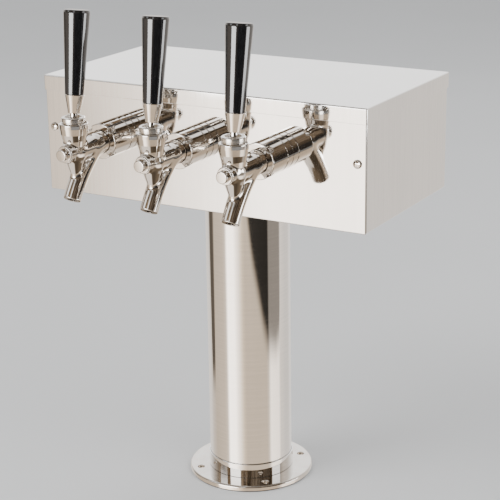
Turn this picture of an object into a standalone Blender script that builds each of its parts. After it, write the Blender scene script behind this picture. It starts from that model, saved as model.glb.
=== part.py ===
"""Beer tower: a round column on a screwed-down flange carries a sheet metal head with three taps.

Metres, +Z up. The origin is the centre of the base where it meets the bar top, and the taps
face -Y. Each tap is built once, round an origin on its barrel axis at the front face of the
panel. There "reach" is the distance forward of the panel and "rise" the height above the axis.
"""

import math

import bmesh
import bpy
import numpy as np
from mathutils import Matrix, Vector

GAP = 0.0003  # left between pieces that touch

# Sides of a round piece, by its size
WIDE = 40
MEDIUM = 16
NARROW = 12
DRILLED = 8

# Base and column
GASKET_THICK = 0.0010
GASKET_RADIUS = 0.0752
FLANGE_RADIUS = 0.0762
FLANGE_THICK = 0.0060
FLANGE_EDGE = 0.0014
BASE_HOLE_RADIUS = 0.0440
BOLT_CIRCLE_RADIUS = 0.0650
BOLT_HOLE_RADIUS = 0.0042
BOLT_COUNT = 4
COLLAR_HEIGHT = 0.0175
COLLAR_WALL = 0.0014
COLUMN_RADIUS = 0.0508
COLUMN_WALL = 0.0015

# Head
HEAD_WIDTH = 0.4170
HEAD_DEPTH = 0.2170
HEAD_BOTTOM = 0.3640
HEAD_TOP = 0.5025
SHEET = 0.0012
PANEL_THICK = 0.0015
PANEL_LIP = 0.0180  # width of the folded edges that the front panel is screwed to
SILL_HEIGHT = 0.0120
COVER_SHEET = 0.0010
COVER_SKIRT = 0.0180
COVER_PLAY = 0.0004
PANEL_SCREW_X = 0.1985
PANEL_SCREW_Z = 0.4410
PANEL_SCREW_HEAD = 0.0050
COLUMN_SCREW_CIRCLE = 0.0450
COLUMN_SCREW_COUNT = 4
COLUMN_PLATE_RADIUS = 0.0600
COLUMN_PLATE_THICK = 0.0030
SCREW_HOLE_RADIUS = 0.0024
MOUTH_RADIUS = 0.0410  # where the lines pass from the column into the head

# Lines
LINE_RADIUS = 0.00475
LINE_CIRCLE = 0.0160
LINE_END_Z = 0.0100
SLEEVE_INNER = 0.0220
SLEEVE_OUTER = 0.0300
SLEEVE_LOW = 0.0140
SLEEVE_HIGH = 0.3450

# Taps
TAPS = {"left": -0.1016, "middle": 0.0, "right": 0.1016}
TAP_AXIS_Z = 0.4430
LEVER_REACH = 0.0940
PIVOT_RISE = 0.0280  # the finger is as long, so its tip works on the barrel axis
LEAN_BACK = math.radians(7.5)
BALL_RADIUS = 0.0100
FINGER_RADIUS = 0.0030
FINGER_PLAY = 0.0005
STEM_RADIUS = 0.0042
FERRULE_LOW = 0.0146
HANDLE_LOW = 0.0350
HANDLE_HIGH = 0.1267
SHANK_RADIUS = 0.0108
SHANK_TAIL = 0.0450
LOCKNUT_FLATS = 0.0320
LOCKNUT_THICK = 0.0080
TAIL_NUT_FLATS = 0.0260
TAIL_NUT_THICK = 0.0090
ELBOW_STRAIGHT = 0.0100  # from the shank's end to where the bend starts
ELBOW_BEND = 0.0140
ELBOW_DROP = 0.0165
SPOUT_CENTRE = (-0.0613, -0.1510)  # reach and rise of the middle of the spout's curve
SPOUT_BEND = 0.1915
SPOUT_MOUTH_RADIUS = 0.0099
SPOUT_BORE = 0.0052

FLANGE_TOP = GASKET_THICK + GAP + FLANGE_THICK
FRONT_Y = -HEAD_DEPTH / 2
COVER_UNDERSIDE = HEAD_TOP - COVER_SHEET
WALL_TOP = COVER_UNDERSIDE - GAP

CHROME = ((0.80, 0.79, 0.77), 1.0, 0.08)
STEEL = ((0.78, 0.77, 0.76), 1.0, 0.12)
DULL_STEEL = ((0.55, 0.55, 0.54), 1.0, 0.35)
BLACK = ((0.012, 0.012, 0.013), 0.0, 0.18)
RUBBER = ((0.03, 0.03, 0.03), 0.0, 0.85)
FOAM = ((0.10, 0.10, 0.11), 0.0, 0.90)


def clear_scene():
    for item in list(bpy.data.objects):
        bpy.data.objects.remove(item, do_unlink=True)


# ---------------------------------------------------------------- helpers


def finish_mesh(bm, name):
    """Turns a bmesh into a mesh whose faces point out and whose round sides are smooth."""
    bmesh.ops.remove_doubles(bm, verts=bm.verts, dist=1e-6)
    bmesh.ops.recalc_face_normals(bm, faces=bm.faces)
    mesh = bpy.data.meshes.new(name)
    bm.to_mesh(mesh)
    bm.free()
    mesh.shade_smooth()
    mesh.set_sharp_from_angle(angle=math.radians(35))
    return mesh


def turned(name, profile, sides, closed=False):
    """A solid of revolution about Z from (radius, height) points. A closed profile makes a ring."""
    bm = bmesh.new()
    verts = [bm.verts.new((r, 0.0, h)) for r, h in profile]
    ends = list(zip(verts, verts[1:]))
    if closed:
        ends.append((verts[-1], verts[0]))
    edges = [bm.edges.new(pair) for pair in ends]
    bmesh.ops.spin(
        bm, geom=verts + edges, cent=(0, 0, 0), axis=(0, 0, 1),
        angle=math.tau, steps=sides, use_merge=True,
    )
    return finish_mesh(bm, name)


def ring(name, inner, outer, low, high, sides):
    return turned(name, [(inner, low), (outer, low), (outer, high), (inner, high)], sides, True)


def box(name, low, high):
    bm = bmesh.new()
    size = [h - l for l, h in zip(low, high)]
    middle = [(l + h) / 2 for l, h in zip(low, high)]
    bmesh.ops.create_cube(bm, size=1.0)
    bmesh.ops.scale(bm, vec=size, verts=bm.verts)
    bmesh.ops.translate(bm, vec=middle, verts=bm.verts)
    return finish_mesh(bm, name)


def swept(name, points, radii, sides):
    """A solid round bar through the points, with a radius at each, kept upright across X."""
    bm = bmesh.new()
    across = Vector((1, 0, 0))
    rings = []
    for i, point in enumerate(points):
        ahead = points[min(i + 1, len(points) - 1)] - points[max(i - 1, 0)]
        other = ahead.cross(across).normalized()
        rings.append([
            bm.verts.new(point + radii[i] * (math.cos(a) * across + math.sin(a) * other))
            for a in (math.tau * k / sides for k in range(sides))
        ])
    for low, high in zip(rings, rings[1:]):
        for k in range(sides):
            nxt = (k + 1) % sides
            bm.faces.new((low[k], low[nxt], high[nxt], high[k]))
    bm.faces.new(rings[0])
    bm.faces.new(rings[-1])
    return finish_mesh(bm, name)


def along_reach(mesh):
    """Turns a piece made about Z so that its height becomes reach, forward along -Y."""
    mesh.transform(Matrix.Rotation(math.radians(90), 4, "X"))
    return mesh


def moved(mesh, x=0.0, y=0.0, z=0.0):
    mesh.transform(Matrix.Translation((x, y, z)))
    return mesh


def combined(mesh, others, operation):
    """The mesh with each of the others joined to it (UNION) or cut from it (DIFFERENCE)."""
    base = bpy.data.objects.new("base", mesh)
    bpy.context.scene.collection.objects.link(base)
    tools = []
    for other in others:
        tool = bpy.data.objects.new("tool", other)
        bpy.context.scene.collection.objects.link(tool)
        step = base.modifiers.new("step", "BOOLEAN")
        step.object = tool
        step.operation = operation
        step.solver = "EXACT"
        tools.append(tool)
    depsgraph = bpy.context.evaluated_depsgraph_get()
    result = bpy.data.meshes.new_from_object(base.evaluated_get(depsgraph))
    result.name = mesh.name
    for item in [base] + tools:
        bpy.data.objects.remove(item, do_unlink=True)
    result.shade_smooth()
    result.set_sharp_from_angle(angle=math.radians(35))
    return result


def painted(name, finish):
    """A material with the finish's colour, metallic value and roughness."""
    colour, metallic, roughness = finish
    material = bpy.data.materials.new(name)
    material.use_nodes = True
    shader = material.node_tree.nodes["Principled BSDF"]
    shader.inputs["Base Color"].default_value = (*colour, 1.0)
    shader.inputs["Metallic"].default_value = metallic
    shader.inputs["Roughness"].default_value = roughness
    material.diffuse_color = (*colour, 1.0)
    return material


def place(name, mesh, finish, parent=None, location=(0, 0, 0)):
    """A named object of its own material, from a copy of the mesh."""
    piece = bpy.data.objects.new(name, mesh.copy())
    piece.data.materials.clear()
    piece.data.materials.append(painted(name, finish))
    piece.parent = parent
    piece.location = location
    bpy.context.scene.collection.objects.link(piece)
    return piece


def empty(name, location, parent=None, tilt=0.0):
    point = bpy.data.objects.new(name, None)
    point.location = location
    point.rotation_euler = (tilt, 0, 0)
    point.parent = parent
    bpy.context.scene.collection.objects.link(point)
    return point


def on_circle(radius, count, start_deg):
    for k in range(count):
        angle = math.radians(start_deg) + math.tau * k / count
        yield radius * math.cos(angle), radius * math.sin(angle)


def holes(radius, low, high, places, sides=DRILLED):
    """Round cutters that stand on the given XY places."""
    profile = [(0, low), (radius, low), (radius, high), (0, high)]
    return [moved(turned("hole", profile, sides), x, y) for x, y in places]


def panel_holes(radius, places, sides=DRILLED):
    """Round cutters that lie through the head's front at the given XZ places."""
    cutters = holes(radius, -0.02, 0.02, [(0, 0)] * len(places), sides)
    return [moved(along_reach(c), x, FRONT_Y, z) for c, (x, z) in zip(cutters, places)]


# ---------------------------------------------------------------- base and column


def make_base():
    bolts = list(on_circle(BOLT_CIRCLE_RADIUS, BOLT_COUNT, 45))
    gasket = ring("gasket", BASE_HOLE_RADIUS + 0.001, GASKET_RADIUS, 0, GASKET_THICK, WIDE)
    gasket = combined(gasket, holes(BOLT_HOLE_RADIUS, -0.01, 0.01, bolts), "DIFFERENCE")
    place("base_gasket", gasket, RUBBER)

    low = GASKET_THICK + GAP
    inner, outer = BASE_HOLE_RADIUS, FLANGE_RADIUS
    flange = turned("flange", [
        (inner, low),
        (outer, low),
        (outer, FLANGE_TOP - FLANGE_EDGE),
        (outer - FLANGE_EDGE, FLANGE_TOP),
        (inner, FLANGE_TOP),
    ], WIDE, True)
    flange = combined(flange, holes(BOLT_HOLE_RADIUS, -0.01, 0.02, bolts, NARROW), "DIFFERENCE")
    place("base_flange", flange, CHROME)

    low = FLANGE_TOP + GAP
    inner = COLUMN_RADIUS + GAP
    collar = ring("collar", inner, inner + COLLAR_WALL, low, low + COLLAR_HEIGHT, WIDE)
    place("base_collar", collar, STEEL)


def make_column():
    low, high = FLANGE_TOP + GAP, HEAD_BOTTOM - GAP
    inner = COLUMN_RADIUS - COLUMN_WALL
    place("column_tube", ring("tube", inner, COLUMN_RADIUS, low, high, WIDE), STEEL)
    sleeve = ring("sleeve", SLEEVE_INNER, SLEEVE_OUTER, SLEEVE_LOW, SLEEVE_HIGH, MEDIUM)
    place("line_sleeve", sleeve, FOAM)

    screws = list(on_circle(COLUMN_SCREW_CIRCLE, COLUMN_SCREW_COUNT, 45))
    top_ring = ring("top_ring", MOUTH_RADIUS, inner - GAP, high - 0.012, high, WIDE)
    top_ring = combined(top_ring, holes(SCREW_HOLE_RADIUS, 0.3, 0.4, screws), "DIFFERENCE")
    place("column_top_ring", top_ring, DULL_STEEL)

    low = HEAD_BOTTOM + SHEET + GAP
    plate = ring("plate", MOUTH_RADIUS, COLUMN_PLATE_RADIUS, low, low + COLUMN_PLATE_THICK, WIDE)
    plate = combined(plate, holes(SCREW_HOLE_RADIUS, 0.3, 0.4, screws), "DIFFERENCE")
    place("head_plate", plate, DULL_STEEL)

    seat = low + COLUMN_PLATE_THICK + GAP
    screw = turned("column_screw", [
        (0, seat - 0.0165), (0.0021, seat - 0.0165), (0.0021, seat), (0.0038, seat),
        (0.0038, seat + 0.0018), (0.0030, seat + 0.0025), (0, seat + 0.0025),
    ], DRILLED)
    for number, (x, y) in enumerate(screws, 1):
        place(f"column_screw_{number}", screw, DULL_STEEL, location=(x, y, 0))


# ---------------------------------------------------------------- head


def make_head_body():
    """A folded tray, open at the top and, inside its folded edges, at the front."""
    half = HEAD_WIDTH / 2
    back = HEAD_DEPTH / 2
    front = FRONT_Y + PANEL_THICK + GAP
    body = box("head", (-half, front, HEAD_BOTTOM), (half, back, WALL_TOP))
    hollow = box(
        "hollow",
        (-half + SHEET, front + SHEET, HEAD_BOTTOM + SHEET),
        (half - SHEET, back - SHEET, WALL_TOP + 0.01),
    )
    window = box(
        "window",
        (-half + PANEL_LIP, front - 0.01, HEAD_BOTTOM + SILL_HEIGHT),
        (half - PANEL_LIP, front + 0.01, WALL_TOP + 0.01),
    )
    mouth = holes(MOUTH_RADIUS, 0.3, 0.4, [(0, 0)], WIDE)
    screws = on_circle(COLUMN_SCREW_CIRCLE, COLUMN_SCREW_COUNT, 45)
    cutters = [hollow, window] + mouth + holes(SCREW_HOLE_RADIUS, 0.3, 0.4, screws)
    place("head_body", combined(body, cutters + panel_screw_holes(), "DIFFERENCE"), STEEL)


def panel_screw_holes():
    places = [(side * PANEL_SCREW_X, PANEL_SCREW_Z) for side in (-1, 1)]
    return panel_holes(SCREW_HOLE_RADIUS, places)


def make_front_panel():
    half = HEAD_WIDTH / 2
    panel = box("panel", (-half, FRONT_Y, HEAD_BOTTOM), (half, FRONT_Y + PANEL_THICK, WALL_TOP))
    shanks = panel_holes(SHANK_RADIUS + GAP, [(x, TAP_AXIS_Z) for x in TAPS.values()], MEDIUM)
    place("front_panel", combined(panel, panel_screw_holes() + shanks, "DIFFERENCE"), STEEL)

    head = PANEL_SCREW_HEAD
    screw = along_reach(turned("panel_screw", [
        (0, -0.009), (0.0020, -0.008), (0.0020, GAP), (head, GAP), (head, 0.0012),
        (0.8 * head, 0.0021), (0.4 * head, 0.0026), (0, 0.0027),
    ], NARROW))
    for name, side in (("left", -1), ("right", 1)):
        at = (side * PANEL_SCREW_X, FRONT_Y, PANEL_SCREW_Z)
        place(f"panel_screw_{name}", screw, STEEL, location=at)


def make_cover():
    out = COVER_PLAY + COVER_SHEET
    x, y = HEAD_WIDTH / 2 + out, HEAD_DEPTH / 2 + out
    cover = box("cover", (-x, -y, HEAD_TOP - COVER_SKIRT), (x, y, HEAD_TOP))
    t = COVER_SHEET
    inside = box("inside", (-x + t, -y + t, HEAD_TOP - COVER_SKIRT - 0.01), (x - t, y - t, COVER_UNDERSIDE))
    place("top_cover", combined(cover, [inside], "DIFFERENCE"), STEEL)


# ---------------------------------------------------------------- tap, static pieces


def spout_points(first_deg, last_deg, count):
    """Points down the middle of the spout. The angle is how far it has turned down from level."""
    reach, rise = SPOUT_CENTRE
    return [
        Vector((0, -reach - SPOUT_BEND * math.sin(a), rise + SPOUT_BEND * math.cos(a)))
        for a in np.radians(np.linspace(first_deg, last_deg, count))
    ]


def make_body_mesh():
    """Barrel, lever socket and spout in one casting, with the valve bore through it."""
    barrel = along_reach(turned("barrel", [
        (0, 0.0313), (0.0142, 0.0313), (0.0142, 0.0350), (0.0129, 0.0350),
        (0.0129, 0.0920), (0.0100, 0.0985), (0.0100, 0.1120), (0, 0.1120),
    ], MEDIUM))
    socket = moved(turned("socket", [
        (0, 0.0320), (0.0153, 0.0320), (0.0160, 0.0312), (0.0160, 0.0270), (0.0150, 0.0200),
        (0.0133, 0.0130), (0.0124, 0.0070), (0.0118, -0.0050), (0.0102, -0.0120),
        (0.0080, -0.0190), (0.0055, -0.0260), (0.0030, -0.0310), (0, -0.0310),
    ], MEDIUM), y=-LEVER_REACH)
    count = 5
    widths = [SPOUT_MOUTH_RADIUS + 0.0019 * (1 - k / (count - 1)) ** 1.5 for k in range(count)]
    spout = swept("spout", spout_points(38, 59.5, count), widths, MEDIUM)
    body = combined(barrel, [socket, spout], "UNION")
    return combined(body, body_bores(), "DIFFERENCE")


def body_bores():
    bore = along_reach(turned("bore", [
        (0, 0.0300), (0.0098, 0.0300), (0.0098, 0.0620), (0.0070, 0.0620),
        (0.0070, 0.0765), (0.0050, 0.0765), (0.0050, 0.1130), (0, 0.1130),
    ], NARROW))
    slot = box("slot", (-0.0035, -0.1013, -0.0010), (0.0035, -0.0820, 0.0200))
    path = [Vector((0, -0.0660, 0.0030))] + spout_points(44, 62.5, 4)
    throat = swept("throat", path, [SPOUT_BORE] * len(path), DRILLED)
    seat = moved(turned("seat", [
        (0, 0.0172), (0.0042, 0.0172), (0.0084, 0.0213), (0.0106, 0.0230),
        (0.0128, 0.0230), (0.0128, 0.0340), (0, 0.0340),
    ], MEDIUM), y=-LEVER_REACH)
    return [bore, slot, throat, seat]


def make_bonnet_mesh():
    """The nut that holds the ball down. Heights are from the pivot."""
    return turned("bonnet", [
        (0.0105, -0.0047), (0.0124, -0.0047), (0.0124, 0.0055), (0.0131, 0.0059), (0.0131, 0.0101),
        (0.0122, 0.0110), (0.0094, 0.0110), (0.0080, 0.0070), (0.0097, 0.0043), (0.0105, 0.0),
    ], MEDIUM, True)


def make_cap_mesh():
    return along_reach(turned("cap", [
        (0, 0.1098), (0.0046, 0.1098), (0.0046, 0.1123), (0.0092, 0.1123), (0.0092, 0.1138),
        (0.0068, 0.1143), (0.0068, 0.1185), (0.0058, 0.1197), (0, 0.1200),
    ], NARROW))


def make_coupling_mesh():
    nut = along_reach(turned("coupling", [
        (0.0145, 0.0126), (0.0196, 0.0126), (0.0204, 0.0136), (0.0204, 0.0440), (0.0194, 0.0450),
        (0.0133, 0.0450), (0.0133, 0.0354), (0.0145, 0.0354),
    ], MEDIUM, True))
    notch = box("notch", (0.0170, -0.0500, -0.0030), (0.0300, -0.0370, 0.0030))
    notches = []
    for turn in (45, 135, 225, 315):
        copy = notch.copy()
        copy.transform(Matrix.Rotation(math.radians(turn), 4, "Y"))
        notches.append(copy)
    return combined(nut, notches, "DIFFERENCE")


def make_shank_mesh():
    return along_reach(turned("shank", [
        (0.0045, -SHANK_TAIL), (SHANK_RADIUS, -SHANK_TAIL), (SHANK_RADIUS, GAP), (0.0198, GAP),
        (0.0204, 0.0010), (0.0204, 0.0112), (0.0194, 0.0122), (0.0142, 0.0122),
        (0.0142, 0.0309), (0.0045, 0.0309),
    ], MEDIUM, True))


def hexagon(name, across_flats, low, high):
    radius = across_flats / math.sqrt(3)
    return along_reach(turned(name, [(0, low), (radius, low), (radius, high), (0, high)], 6))


def make_locknut_mesh():
    back = -PANEL_THICK - GAP
    nut = hexagon("locknut", LOCKNUT_FLATS, back - LOCKNUT_THICK, back)
    bore = holes(SHANK_RADIUS + GAP, -0.02, 0.01, [(0, 0)], MEDIUM)[0]
    return combined(nut, [along_reach(bore)], "DIFFERENCE")


def make_elbow_mesh():
    """A tail nut on the shank's end and a pipe that turns down from it."""
    face = -SHANK_TAIL - GAP
    bend_start = face - ELBOW_STRAIGHT
    points = [Vector((0, -face, 0)), Vector((0, -bend_start, 0))]
    for angle in np.radians(np.linspace(18, 90, 5)):
        y = -bend_start + ELBOW_BEND * math.sin(angle)
        points.append(Vector((0, y, -ELBOW_BEND * (1 - math.cos(angle)))))
    points.append(Vector((0, points[-1].y, -ELBOW_DROP)))
    pipe = swept("pipe", points, [0.0065] * len(points), NARROW)
    nut = hexagon("tail_nut", TAIL_NUT_FLATS, face - TAIL_NUT_THICK, face)
    beyond = [points[0] - Vector((0, 0.01, 0))] + points[1:-1] + [points[-1] - Vector((0, 0, 0.01))]
    bore = swept("pipe_bore", beyond, [0.0035] * len(beyond), DRILLED)
    return combined(combined(pipe, [nut], "UNION"), [bore], "DIFFERENCE")


def elbow_outlet():
    """The middle of the elbow's lower end, from the tap's origin."""
    return Vector((0, SHANK_TAIL + GAP + ELBOW_STRAIGHT + ELBOW_BEND, -ELBOW_DROP))


# ---------------------------------------------------------------- tap, moving pieces


def make_lever_mesh():
    """Finger, ball and stem, with the ball's centre at the origin."""
    ball = [
        (BALL_RADIUS * math.cos(a), BALL_RADIUS * math.sin(a))
        for a in np.radians((-75, -50, -25, 0, 25, 45, 65))
    ]
    tip = -PIVOT_RISE
    return turned("lever", [
        (0, tip - 0.0030), (0.0021, tip - 0.0021), (FINGER_RADIUS, tip), (0.0020, tip + 0.0024),
        *ball, (STEM_RADIUS, 0.0095), (STEM_RADIUS, 0.0495), (0, 0.0495),
    ], NARROW)


def make_ferrule_mesh():
    inner = STEM_RADIUS + GAP
    return turned("ferrule", [
        (inner, FERRULE_LOW), (0.0066, FERRULE_LOW), (0.0070, FERRULE_LOW + 0.0005),
        (0.0074, FERRULE_LOW + 0.0040), (0.0108, HANDLE_LOW - GAP), (inner, HANDLE_LOW - GAP),
    ], MEDIUM, True)


def make_handle_mesh():
    inner = STEM_RADIUS + GAP
    high = HANDLE_HIGH
    return turned("handle", [
        (0, 0.0510), (inner, 0.0510), (inner, HANDLE_LOW), (0.0104, HANDLE_LOW),
        (0.0109, HANDLE_LOW + 0.0006), (0.0146, high - 0.0040), (0.0147, high - 0.0024),
        (0.0140, high - 0.0007), (0.0126, high), (0, high),
    ], MEDIUM)


def make_shaft_mesh():
    """The valve shaft. Its slot takes the finger where the closed lever holds it."""
    shaft = along_reach(turned("shaft", [
        (0, 0.0552), (0.0056, 0.0552), (0.0056, 0.0578), (0.0026, 0.0578), (0.0026, 0.0750),
        (0.0047, 0.0770), (0.0047, 0.1090), (0, 0.1090),
    ], NARROW))
    finger = LEVER_REACH + PIVOT_RISE * math.sin(LEAN_BACK)
    half = FINGER_RADIUS + FINGER_PLAY
    slot = box("slot", (-half, -finger - half, -0.0036), (half, -finger + half, 0.0100))
    return combined(shaft, [slot], "DIFFERENCE")


def make_washer_mesh():
    return along_reach(ring("washer", 0.0029, 0.0088, 0.0581, 0.0617, NARROW))


def make_line(side, start, number):
    """A rigid tube from the elbow, across the head and straight down the column."""
    angle = math.radians(150 + 120 * number)
    foot = Vector((LINE_CIRCLE * math.cos(angle), LINE_CIRCLE * math.sin(angle), 0.352))
    a, d = start - Vector((0, 0, 0.006)), foot
    b, c = a - Vector((0, 0, 0.039)), d + Vector((0, 0, 0.050))
    points = [start]
    for t in np.linspace(0, 1, 15):
        s = 1 - t
        points.append(s**3 * a + 3 * s * s * t * b + 3 * s * t * t * c + t**3 * d)
    points.append(Vector((foot.x, foot.y, LINE_END_Z)))
    curve = bpy.data.curves.new(f"product_line_{side}", "CURVE")
    curve.dimensions = "3D"
    spline = curve.splines.new("POLY")
    spline.points.add(len(points) - 1)
    for spot, point in zip(spline.points, points):
        spot.co = (*point, 1.0)
    curve.bevel_depth = LINE_RADIUS
    curve.bevel_resolution = 2
    curve.use_fill_caps = True
    line = bpy.data.objects.new(f"product_line_{side}", curve)
    curve.materials.append(painted(f"product_line_{side}", DULL_STEEL))
    bpy.context.scene.collection.objects.link(line)


# ---------------------------------------------------------------- assembly


def make_taps():
    fixed = (
        ("shank", make_shank_mesh(), CHROME),
        ("shank_locknut", make_locknut_mesh(), DULL_STEEL),
        ("tail_elbow", make_elbow_mesh(), CHROME),
        ("coupling_nut", make_coupling_mesh(), CHROME),
        ("faucet_body", make_body_mesh(), CHROME),
        ("front_cap", make_cap_mesh(), CHROME),
        ("valve_shaft", make_shaft_mesh(), DULL_STEEL),
        ("seat_washer", make_washer_mesh(), RUBBER),
    )
    bonnet = make_bonnet_mesh()
    turning = (
        ("lever", make_lever_mesh(), CHROME),
        ("handle_ferrule", make_ferrule_mesh(), CHROME),
        ("handle", make_handle_mesh(), BLACK),
    )
    for number, (side, x) in enumerate(TAPS.items()):
        tap = empty(f"tap_{side}", (x, FRONT_Y, TAP_AXIS_Z))
        for name, mesh, finish in fixed:
            place(f"{name}_{side}", mesh, finish, tap)
        above = (0, -LEVER_REACH, PIVOT_RISE)
        place(f"bonnet_nut_{side}", bonnet, CHROME, tap, above)
        pivot = empty(f"pivot_{side}", above, tap, -LEAN_BACK)
        for name, mesh, finish in turning:
            place(f"{name}_{side}", mesh, finish, pivot)
        start = Vector((x, FRONT_Y, TAP_AXIS_Z - GAP)) + elbow_outlet()
        make_line(side, start, number)


def main():
    clear_scene()
    make_base()
    make_column()
    make_head_body()
    make_front_panel()
    make_cover()
    make_taps()


main()
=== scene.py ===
import math

import bmesh
import bpy
import numpy as np
from mathutils import Matrix, Vector


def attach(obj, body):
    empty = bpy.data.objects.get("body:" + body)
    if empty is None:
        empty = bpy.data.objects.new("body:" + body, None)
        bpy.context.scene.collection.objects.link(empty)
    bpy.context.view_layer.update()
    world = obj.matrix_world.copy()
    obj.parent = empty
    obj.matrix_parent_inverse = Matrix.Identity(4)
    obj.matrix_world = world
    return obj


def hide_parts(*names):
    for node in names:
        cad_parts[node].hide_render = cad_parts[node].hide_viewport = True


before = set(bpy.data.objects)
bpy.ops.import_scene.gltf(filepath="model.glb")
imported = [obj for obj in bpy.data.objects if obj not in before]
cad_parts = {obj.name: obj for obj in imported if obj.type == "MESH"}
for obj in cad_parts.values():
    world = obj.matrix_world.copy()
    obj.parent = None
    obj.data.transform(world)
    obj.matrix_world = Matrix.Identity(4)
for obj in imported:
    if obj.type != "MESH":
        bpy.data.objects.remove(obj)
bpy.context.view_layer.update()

# Every length is in metres. In a tap, "reach" is the distance forward of the panel's front face
# and "rise" the height above the barrel's axis. Holes and circles are given by their radius.
GAP = 0.0003
HEAD_WIDTH, HEAD_DEPTH = 0.4170, 0.2170
HEAD_BOTTOM, HEAD_TOP = 0.3640, 0.5025
FRONT_Y = -HEAD_DEPTH / 2
SHEET, PANEL_THICK, PANEL_LIP, SILL_HEIGHT = 0.0012, 0.0015, 0.0180, 0.0120
COVER_SHEET, COVER_SKIRT, COVER_PLAY = 0.0010, 0.0180, 0.0004
WALL_TOP = HEAD_TOP - COVER_SHEET - GAP
PANEL_SCREW_X, PANEL_SCREW_Z = 0.1985, 0.4410
SCREW_HOLE, COLUMN_SCREW_CIRCLE = 0.0024, 0.0450
COLUMN_RADIUS, COLUMN_WALL = 0.0508, 0.0015
FLANGE_RADIUS, FLANGE_LOW, FLANGE_TOP = 0.0762, 0.0013, 0.0073
BOLT_HOLE, BOLT_CIRCLE = 0.0042, 0.0650
MOUTH_RADIUS, PLATE_RADIUS, PLATE_THICK = 0.0410, 0.0600, 0.0030
UNDER_FLOOR, OVER_FLOOR, PAST_PANEL = 0.3000, 0.4000, 0.0200  # how far the cutting rods run
TAPS = {"left": -0.1016, "middle": 0.0, "right": 0.1016}
TAP_AXIS_Z = 0.4430
LEVER_REACH, PIVOT_RISE = 0.0940, 0.0280
LEAN_BACK = math.radians(7.5)
SHANK_RADIUS, SHANK_TAIL, SHANK_END = 0.0108, 0.0450, 0.0309
COUPLING_RADIUS, THREAD_RADIUS = 0.0204, 0.0142
STEM_RADIUS, BALL_RADIUS = 0.0042, 0.0100
FERRULE_LOW, HANDLE_LOW, HANDLE_HIGH = 0.0146, 0.0350, 0.1267
SPOUT_CENTRE, SPOUT_BEND = (-0.0613, -0.1510), 0.1915
LINE_RADIUS, LINE_BORE, LINE_CIRCLE = 0.00475, 0.0035, 0.0160
LINE_FOOT_Z, LINE_END_Z = 0.3520, 0.0100


# ---------------------------------------------------------------- meshes


def fillet(points, radius, steps, closed):
    """The outline with its corners rounded. A point may carry its own radius as a third number."""
    nearly_straight, longest_share = math.radians(4), 0.45
    made = []
    count = len(points)
    for i, point in enumerate(points):
        here = np.array(point[:2], float)
        size = point[2] if len(point) > 2 else radius
        if not closed and i in (0, count - 1) or size <= 0:
            made.append(here)
            continue
        before = np.array(points[i - 1][:2], float) - here
        after = np.array(points[(i + 1) % count][:2], float) - here
        low, high = np.linalg.norm(before), np.linalg.norm(after)
        before, after = before / low, after / high
        turn = math.acos(max(-1.0, min(1.0, float(before @ after))))
        if math.pi - turn < nearly_straight:
            made.append(here)
            continue
        back = min(size / math.tan(turn / 2), longest_share * low, longest_share * high)
        size = back * math.tan(turn / 2)
        middle = (before + after) / np.linalg.norm(before + after)
        centre = here + middle * size / math.sin(turn / 2)
        start, end = here + before * back - centre, here + after * back - centre
        sweep = math.pi - turn
        for k in range(steps + 1):
            t = k / steps
            spot = (math.sin((1 - t) * sweep) * start + math.sin(t * sweep) * end) / math.sin(sweep)
            made.append(centre + spot)
    return [tuple(p) for p in made]


def mesh_from(name, verts, faces):
    """A smooth-shaded mesh whose faces all look outward."""
    mesh = bpy.data.meshes.new(name)
    mesh.from_pydata([tuple(v) for v in verts], [], [tuple(f) for f in faces])
    mesh.validate()
    bm = bmesh.new()
    bm.from_mesh(mesh)
    bmesh.ops.recalc_face_normals(bm, faces=bm.faces)
    bm.to_mesh(mesh)
    bm.free()
    mesh.shade_smooth()
    return mesh


def strip(low, high):
    """The faces between two rings of point numbers."""
    return list(zip(low, low[1:] + low[:1], high[1:] + high[:1], high))


def lathe(name, profile, sides=96, closed=False, radius=0.0003, steps=3):
    """A solid of revolution about Z from (radius, height) points, with rounded corners."""
    outline = fillet(profile, radius, steps, closed)
    verts, rings = [], []
    for r, h in outline:
        if r < 1e-7:
            rings.append([len(verts)] * sides)
            verts.append((0.0, 0.0, h))
            continue
        rings.append(list(range(len(verts), len(verts) + sides)))
        for k in range(sides):
            a = math.tau * k / sides
            verts.append((r * math.cos(a), r * math.sin(a), h))
    pairs = list(zip(rings, rings[1:]))
    if closed:
        pairs.append((rings[-1], rings[0]))
    faces = []
    for low, high in pairs:
        for face in strip(low, high):
            corners = list(dict.fromkeys(face))
            if len(corners) > 2:
                faces.append(corners)
    return mesh_from(name, verts, faces)


def ring(name, inner, outer, low, high, radius, sides=96):
    profile = [(inner, low), (outer, low), (outer, high), (inner, high)]
    return lathe(name, profile, sides, closed=True, radius=radius)


def tube(name, points, radius, bore, sides=32):
    """A pipe through the points, whose way never runs along X."""
    across = Vector((1, 0, 0))
    verts, faces, skins = [], [], []
    for size in (radius, bore):
        rings = []
        for i, point in enumerate(points):
            ahead = points[min(i + 1, len(points) - 1)] - points[max(i - 1, 0)]
            other = ahead.cross(across).normalized()
            side = other.cross(ahead).normalized()
            rings.append(list(range(len(verts), len(verts) + sides)))
            for k in range(sides):
                a = math.tau * k / sides
                verts.append(point + size * (math.cos(a) * side + math.sin(a) * other))
        for low, high in zip(rings, rings[1:]):
            faces += strip(low, high)
        skins.append(rings)
    for end in (0, -1):
        faces += strip(skins[0][end], skins[1][end])
    return mesh_from(name, verts, faces)


def along_reach(mesh):
    """Turns a piece made about Z so that its height becomes reach, forward along -Y."""
    mesh.transform(Matrix.Rotation(math.radians(90), 4, "X"))
    return mesh


def moved(mesh, x=0.0, y=0.0, z=0.0):
    mesh.transform(Matrix.Translation((x, y, z)))
    return mesh


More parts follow.
